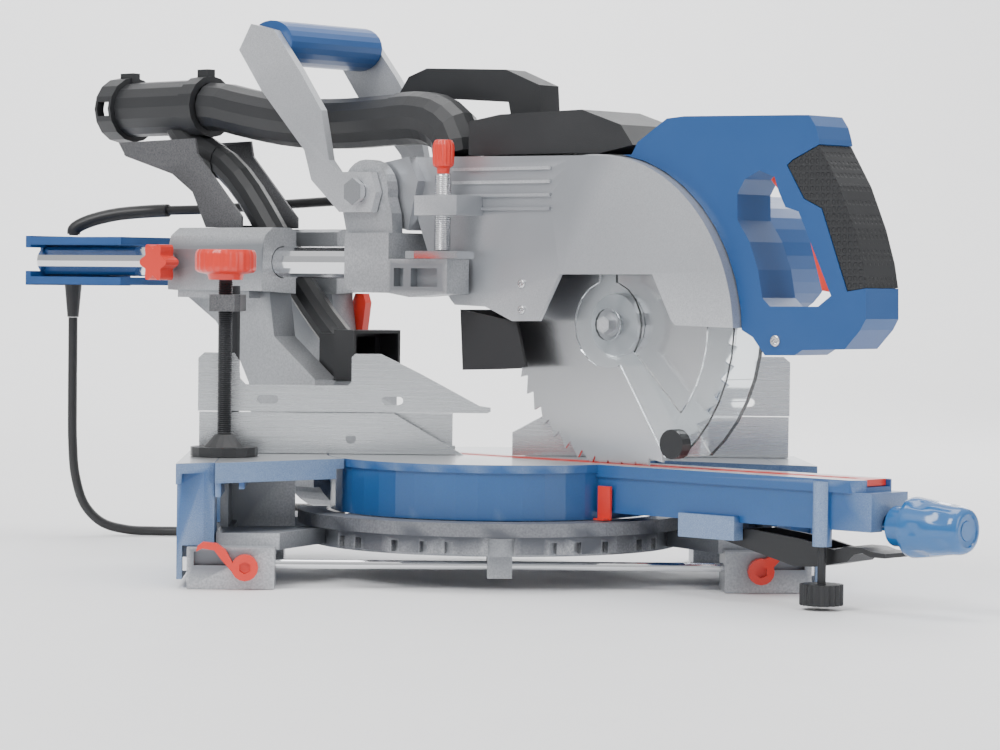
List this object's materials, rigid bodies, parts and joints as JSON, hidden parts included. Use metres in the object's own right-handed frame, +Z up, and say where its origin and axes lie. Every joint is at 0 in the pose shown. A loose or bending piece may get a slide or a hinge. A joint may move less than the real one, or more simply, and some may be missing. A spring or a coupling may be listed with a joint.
{
  "type": "sliding mitre saw",
  "caption": "Double-bevel sliding mitre saw with turntable arm, fences, table extensions, work clamp, dust duct and mains lead, head down and swung to the right.",
  "frame": {"origin": "middle of the saw's bounding box on the floor, cord left out", "axes": "+Z up, +Y to the rear of the base and square to the fence, +X to the operator's right; at rest the arm points along (+X, -Y) at 45 degrees"},
  "size_m": [0.7098, 0.728, 0.4285],
  "materials": {
    "blue_cast": "fine metallic blue enamel on cast aluminium",
    "blue_shell": "satin moulded glass-filled nylon",
    "grey_cast": "light grey enamel on cast aluminium",
    "dark_cast": "dark grey enamel on cast aluminium",
    "guard_cast": "silver grey enamel on die casting",
    "machined": "ground face, fine machining marks",
    "bright_steel": "ground and chromed",
    "blade_steel": "circular brushed",
    "black_steel": "black oxide or black enamel",
    "black_plastic": "fine textured moulding",
    "black_rubber": "dimpled soft overmould",
    "red_plastic": "satin moulding",
    "clear_guard": "clear polycarbonate",
    "cord_sheath": "smooth rubber sheath"
  },
  "bodies": {
    "base": {"base_casting": "dark_cast", "detent_plate": "dark_cast", "wing_left": "blue_cast", "wing_right": "blue_cast", "fence_left": "machined", "fence_right": "machined"},
    "fence_slider_left": {"fence_slide_left": "machined"},
    "fence_slider_right": {"fence_slide_right": "machined"},
    "table_extension_left": {"extension_left": "blue_cast", "rod_left": "bright_steel"},
    "table_extension_right": {"extension_right": "blue_cast", "rod_right": "bright_steel"},
    "cam_lever_left": {"ext_lever_left": "red_plastic"},
    "cam_lever_right": {"ext_lever_right": "red_plastic"},
    "clamp_column": {"clamp_post": "black_steel", "clamp_arm": "black_steel"},
    "clamp_spindle": {"clamp_screw": "black_steel", "clamp_pad": "black_rubber"},
    "turntable": {"turntable": "blue_cast", "kerf_insert": "red_plastic", "mitre_pointer": "red_plastic"},
    "foot_screw": {"support_foot": "black_plastic"},
    "mitre_lock_knob": {"mitre_knob": "blue_shell"},
    "mitre_detent_lever": {"detent_lever": "black_plastic"},
    "tilt_arm": {"tilt_arm": "grey_cast", "tilt_bolt": "bright_steel", "dust_bracket": "black_steel", "dust_manifold": "black_plastic", "dust_duct": "black_plastic", "dust_hose": "black_plastic"},
    "slide_lock": {"slide_lock_knob": "red_plastic"},
    "bevel_lock_lever": {"bevel_lever": "red_plastic"},
    "carriage": {"rail_left": "bright_steel", "rail_right": "bright_steel", "carriage": "grey_cast", "chop_axle": "bright_steel", "rail_bracket": "blue_shell", "carry_arm_left": "guard_cast", "carry_arm_right": "guard_cast", "carry_grip": "blue_shell", "cord_held": "cord_sheath", "cord_gland": "cord_sheath", "cord_lead": "cord_sheath", "cord_coil": "cord_sheath", "plug": "black_plastic"},
    "depth_stop_lever": {"stop_lever": "bright_steel"},
    "head": {"guard": "guard_cast", "handle_shell": "blue_shell", "handle_grip": "black_rubber", "motor": "blue_shell", "top_cover": "black_plastic", "dust_elbow": "black_plastic", "chip_deflector": "black_rubber"},
    "depth_stop_screw": {"depth_screw": "red_plastic"},
    "trigger": {"trigger": "red_plastic"},
    "lock_off": {"lock_off": "red_plastic"},
    "blade": {"blade": "blade_steel", "arbor": "black_steel"},
    "lower_guard": {"lower_guard": "clear_guard"},
    "guard_roller": {"guard_roller": "black_plastic"}
  },
  "joints": [
    {"name": "mitre_turn", "type": "hinge", "parent": "base", "child": "turntable", "pos_m": [0.03723, -0.03723, 0.0905], "axis": [0, 0, 1], "range_deg": [-97, 15]},
    {"name": "bevel_tilt", "type": "hinge", "parent": "turntable", "child": "tilt_arm", "pos_m": [-0.06884, 0.06884, 0.0905], "axis": [-0.7071, 0.7071, 0], "range_deg": [-14, 22]},
    {"name": "rail_slide", "type": "slide", "parent": "tilt_arm", "child": "carriage", "axis": [0.7071, -0.7071, 0], "range_m": [-0.072, 0.055], "deforming": ["dust_hose"]},
    {"name": "head_chop", "type": "hinge", "parent": "carriage", "child": "head", "pos_m": [-0.02853, 0.02853, 0.2915], "axis": [-0.7071, -0.7071, 0], "range_deg": [0, 45]},
    {"name": "blade_spin", "type": "hinge", "parent": "head", "child": "blade", "pos_m": [0.12703, -0.12703, 0.193], "axis": [0.7071, 0.7071, 0], "continuous": true},
    {"name": "guard_swing", "type": "hinge", "parent": "head", "child": "lower_guard", "pos_m": [0.12703, -0.12703, 0.193], "axis": [-0.7071, -0.7071, 0], "range_deg": [-100, 0]},
    {"name": "roller_spin", "type": "hinge", "parent": "lower_guard", "child": "guard_roller", "pos_m": [0.1626, -0.19088, 0.1085], "axis": [0.7071, 0.7071, 0], "continuous": true},
    {"name": "trigger_pull", "type": "hinge", "parent": "head", "child": "trigger", "pos_m": [0.25502, -0.25502, 0.272], "axis": [-0.7071, -0.7071, 0], "range_deg": [0, 4], "stiffness_Nm_per_rad": 1.5, "springref_deg": -2.86},
    {"name": "lock_off_push", "type": "slide", "parent": "head", "child": "lock_off", "axis": [0.7071, 0.7071, 0], "range_m": [0, 0.004], "stiffness_N_per_m": 400, "springref_m": -0.002},
    {"name": "mitre_lock", "type": "hinge", "parent": "turntable", "child": "mitre_lock_knob", "pos_m": [0.30876, -0.30876, 0.0595], "axis": [0.7071, -0.7071, 0], "range_deg": [0, 180]},
    {"name": "detent_press", "type": "hinge", "parent": "turntable", "child": "mitre_detent_lever", "pos_m": [0.20694, -0.20694, 0.046], "axis": [0.7071, 0.7071, 0], "range_deg": [0, 2], "stiffness_Nm_per_rad": 4, "springref_deg": -8.59},
    {"name": "foot_adjust", "type": "slide", "parent": "turntable", "child": "foot_screw", "axis": [0, 0, 1], "range_m": [-0.003, 0.003]},
    {"name": "bevel_lock", "type": "hinge", "parent": "tilt_arm", "child": "bevel_lock_lever", "pos_m": [-0.07237, 0.1445, 0.15], "axis": [0.7071, 0.7071, 0], "range_deg": [0, 40]},
    {"name": "slide_lock_turn", "type": "hinge", "parent": "tilt_arm", "child": "slide_lock", "pos_m": [-0.22581, 0.13248, 0.236], "axis": [0.7071, 0.7071, 0], "range_deg": [0, 180]},
    {"name": "depth_adjust", "type": "slide", "parent": "head", "child": "depth_stop_screw", "axis": [0, 0, 1], "range_m": [0, 0.02]},
    {"name": "stop_lever_swing", "type": "hinge", "parent": "carriage", "child": "depth_stop_lever", "pos_m": [-0.02005, -0.04784, 0.243], "axis": [0, 0, -1], "range_deg": [0, 80]},
    {"name": "fence_slide_l", "type": "slide", "parent": "base", "child": "fence_slider_left", "axis": [1, 0, 0], "range_m": [-0.05, 0]},
    {"name": "fence_slide_r", "type": "slide", "parent": "base", "child": "fence_slider_right", "axis": [-1, 0, 0], "range_m": [-0.05, 0]},
    {"name": "extension_l", "type": "slide", "parent": "base", "child": "table_extension_left", "axis": [-1, 0, 0], "range_m": [0, 0.12]},
    {"name": "extension_r", "type": "slide", "parent": "base", "child": "table_extension_right", "axis": [1, 0, 0], "range_m": [0, 0.12]},
    {"name": "cam_lever_l", "type": "hinge", "parent": "base", "child": "cam_lever_left", "pos_m": [-0.14677, -0.17823, 0.016], "axis": [0, 1, 0], "range_deg": [0, 60]},
    {"name": "cam_lever_r", "type": "hinge", "parent": "base", "child": "cam_lever_right", "pos_m": [0.22573, -0.17823, 0.016], "axis": [0, 1, 0], "range_deg": [-60, 0]},
    {"name": "clamp_swivel", "type": "hinge", "parent": "base", "child": "clamp_column", "pos_m": [-0.16477, -0.01473, 0.15], "axis": [0, 0, -1], "range_deg": [0, 25]},
    {"name": "clamp_feed", "type": "slide", "parent": "clamp_column", "child": "clamp_spindle", "axis": [0, 0, 1], "range_m": [0, 0.06]}
  ],
  "couplings": [
    {"joint": "guard_swing", "follows": "head_chop", "ratio": -2.2}
  ]
}
